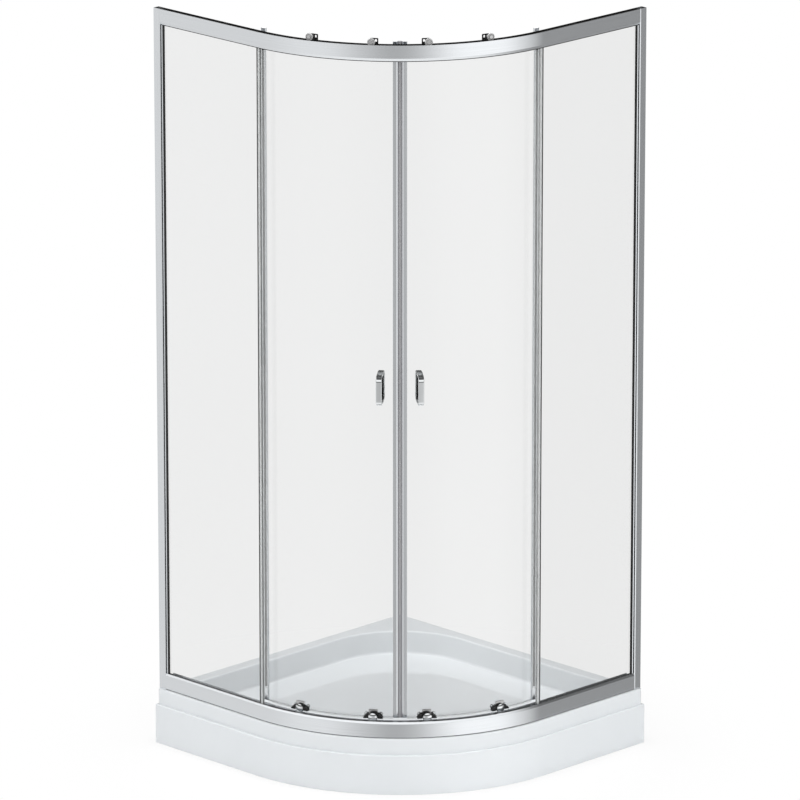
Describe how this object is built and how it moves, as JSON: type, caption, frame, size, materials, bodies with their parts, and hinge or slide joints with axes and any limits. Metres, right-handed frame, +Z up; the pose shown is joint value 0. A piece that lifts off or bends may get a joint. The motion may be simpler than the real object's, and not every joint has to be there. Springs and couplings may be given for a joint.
{
  "type": "corner shower enclosure",
  "caption": "Quadrant corner shower enclosure: raised tray with apron, bent aluminium rails, flat fixed panels and curved glass doors sliding on wheels, with bow handles.",
  "frame": {"origin": "on the floor, under the middle of the square footprint", "axes": "+Z up; the room walls are at -X and +Y and the bent front faces +X and -Y"},
  "size_m": [0.9, 0.9, 1.9803],
  "materials": {
    "white_acrylic": "gloss",
    "satin_aluminium": "satin anodised",
    "clear_glass": "clear, tempered",
    "polished_chrome": "polished",
    "black_rubber": "matte",
    "black_plastic": "satin",
    "clear_seal": "translucent",
    "magnet_grey": "satin",
    "wheel_plastic": "gloss",
    "axle_steel": "plain",
    "galvanised_steel": "galvanised",
    "foot_steel": "plain",
    "trap_plastic": "moulded"
  },
  "bodies": {
    "enclosure": {"apron_clips": "galvanised_steel", "bottom_rail": "satin_aluminium", "door_stops": "black_rubber", "foot_nuts": "galvanised_steel", "frame_screws": "galvanised_steel", "front_apron": "white_acrylic", "glazing_gaskets": "black_rubber", "left_fixed_glass": "clear_glass", "left_side_post": "satin_aluminium", "left_wall_channel": "satin_aluminium", "panel_edge_seals": "clear_seal", "right_fixed_glass": "clear_glass", "right_side_post": "satin_aluminium", "right_wall_channel": "satin_aluminium", "shower_tray": "white_acrylic", "top_rail": "satin_aluminium", "tray_feet": "foot_steel", "tray_frame": "galvanised_steel", "waste_flange": "polished_chrome", "waste_seal": "black_rubber", "waste_trap": "trap_plastic"},
    "left_door": {"left_door_glass": "clear_glass", "left_closing_stile": "satin_aluminium", "left_trailing_stile": "satin_aluminium", "left_magnet_strip": "magnet_grey", "left_trailing_seal": "black_rubber", "left_drip_seal": "clear_seal", "left_top_hangers": "black_plastic", "left_top_axles": "axle_steel", "left_bottom_carriers": "black_plastic", "left_roller_bolts": "polished_chrome", "left_outer_handle": "polished_chrome", "left_inner_handle": "polished_chrome", "left_handle_screws": "axle_steel"},
    "left_top_inner_wheel": {"left_top_inner_wheel": "wheel_plastic"},
    "left_top_outer_wheel": {"left_top_outer_wheel": "wheel_plastic"},
    "left_bottom_inner_slide": {"left_bottom_inner_slide": "axle_steel"},
    "left_bottom_inner_wheel": {"left_bottom_inner_wheel": "wheel_plastic"},
    "left_bottom_outer_slide": {"left_bottom_outer_slide": "axle_steel"},
    "left_bottom_outer_wheel": {"left_bottom_outer_wheel": "wheel_plastic"},
    "right_door": {"right_door_glass": "clear_glass", "right_closing_stile": "satin_aluminium", "right_trailing_stile": "satin_aluminium", "right_magnet_strip": "magnet_grey", "right_trailing_seal": "black_rubber", "right_drip_seal": "clear_seal", "right_top_hangers": "black_plastic", "right_top_axles": "axle_steel", "right_bottom_carriers": "black_plastic", "right_roller_bolts": "polished_chrome", "right_outer_handle": "polished_chrome", "right_inner_handle": "polished_chrome", "right_handle_screws": "axle_steel"},
    "right_top_inner_wheel": {"right_top_inner_wheel": "wheel_plastic"},
    "right_top_outer_wheel": {"right_top_outer_wheel": "wheel_plastic"},
    "right_bottom_inner_slide": {"right_bottom_inner_slide": "axle_steel"},
    "right_bottom_inner_wheel": {"right_bottom_inner_wheel": "wheel_plastic"},
    "right_bottom_outer_slide": {"right_bottom_outer_slide": "axle_steel"},
    "right_bottom_outer_wheel": {"right_bottom_outer_wheel": "wheel_plastic"},
    "waste_cover": {"waste_cover": "polished_chrome"}
  },
  "joints": [
    {"name": "left_door_travel", "type": "hinge", "parent": "enclosure", "child": "left_door", "pos_m": [-0.12308, 0.23113, 0.147], "axis": [0, 0, -1], "range_deg": [0, 22.5]},
    {"name": "left_top_inner_wheel_spin", "type": "hinge", "parent": "left_door", "child": "left_top_inner_wheel", "pos_m": [0.22737, -0.32897, 1.9703], "axis": [0.5992, -0.8006, 0], "range_deg": [-5, 1491.6]},
    {"name": "left_top_outer_wheel_spin", "type": "hinge", "parent": "left_door", "child": "left_top_outer_wheel", "pos_m": [0.07802, -0.39828, 1.9703], "axis": [0.3076, -0.9515, 0], "range_deg": [-5, 1491.7]},
    {"name": "left_bottom_inner_release", "type": "slide", "parent": "left_door", "child": "left_bottom_inner_slide", "axis": [0, 0, 1], "range_m": [0, 0.006], "stiffness_N_per_m": 400, "springref_m": -0.006},
    {"name": "left_bottom_inner_wheel_spin", "type": "hinge", "parent": "left_bottom_inner_slide", "child": "left_bottom_inner_wheel", "pos_m": [0.21928, -0.31816, 0.1963], "axis": [0.5992, -0.8006, 0], "range_deg": [-5, 1218.6]},
    {"name": "left_bottom_outer_release", "type": "slide", "parent": "left_door", "child": "left_bottom_outer_slide", "axis": [0, 0, 1], "range_m": [0, 0.006], "stiffness_N_per_m": 400, "springref_m": -0.006},
    {"name": "left_bottom_outer_wheel_spin", "type": "hinge", "parent": "left_bottom_outer_slide", "child": "left_bottom_outer_wheel", "pos_m": [0.03271, -0.39676, 0.1963], "axis": [0.2226, -0.9749, 0], "range_deg": [-5, 1218]},
    {"name": "right_door_travel", "type": "hinge", "parent": "enclosure", "child": "right_door", "pos_m": [-0.23113, 0.12308, 0.147], "axis": [0, 0, 1], "range_deg": [0, 22.5]},
    {"name": "right_top_inner_wheel_spin", "type": "hinge", "parent": "right_door", "child": "right_top_inner_wheel", "pos_m": [0.32897, -0.22737, 1.9703], "axis": [-0.8006, 0.5992, 0], "range_deg": [-5, 1491.6]},
    {"name": "right_top_outer_wheel_spin", "type": "hinge", "parent": "right_door", "child": "right_top_outer_wheel", "pos_m": [0.39828, -0.07802, 1.9703], "axis": [-0.9515, 0.3076, 0], "range_deg": [-5, 1491.7]},
    {"name": "right_bottom_inner_release", "type": "slide", "parent": "right_door", "child": "right_bottom_inner_slide", "axis": [0, 0, 1], "range_m": [0, 0.006], "stiffness_N_per_m": 400, "springref_m": -0.006},
    {"name": "right_bottom_inner_wheel_spin", "type": "hinge", "parent": "right_bottom_inner_slide", "child": "right_bottom_inner_wheel", "pos_m": [0.31816, -0.21928, 0.1963], "axis": [-0.8006, 0.5992, 0], "range_deg": [-5, 1218.6]},
    {"name": "right_bottom_outer_release", "type": "slide", "parent": "right_door", "child": "right_bottom_outer_slide", "axis": [0, 0, 1], "range_m": [0, 0.006], "stiffness_N_per_m": 400, "springref_m": -0.006},
    {"name": "right_bottom_outer_wheel_spin", "type": "hinge", "parent": "right_bottom_outer_slide", "child": "right_bottom_outer_wheel", "pos_m": [0.39676, -0.03271, 0.1963], "axis": [-0.9749, 0.2226, 0], "range_deg": [-5, 1218]},
    {"name": "waste_cover_lift", "type": "slide", "parent": "enclosure", "child": "waste_cover", "axis": [0, 0, 1], "range_m": [0, 0.06]}
  ],
  "couplings": [
    {"joint": "left_top_inner_wheel_spin", "follows": "left_door_travel", "ratio": 66.07},
    {"joint": "left_top_outer_wheel_spin", "follows": "left_door_travel", "ratio": 66.075},
    {"joint": "left_bottom_inner_wheel_spin", "follows": "left_door_travel", "ratio": 53.938},
    {"joint": "left_bottom_outer_wheel_spin", "follows": "left_door_travel", "ratio": 53.911},
    {"joint": "right_top_inner_wheel_spin", "follows": "right_door_travel", "ratio": 66.07},
    {"joint": "right_top_outer_wheel_spin", "follows": "right_door_travel", "ratio": 66.075},
    {"joint": "right_bottom_inner_wheel_spin", "follows": "right_door_travel", "ratio": 53.938},
    {"joint": "right_bottom_outer_wheel_spin", "follows": "right_door_travel", "ratio": 53.911}
  ]
}
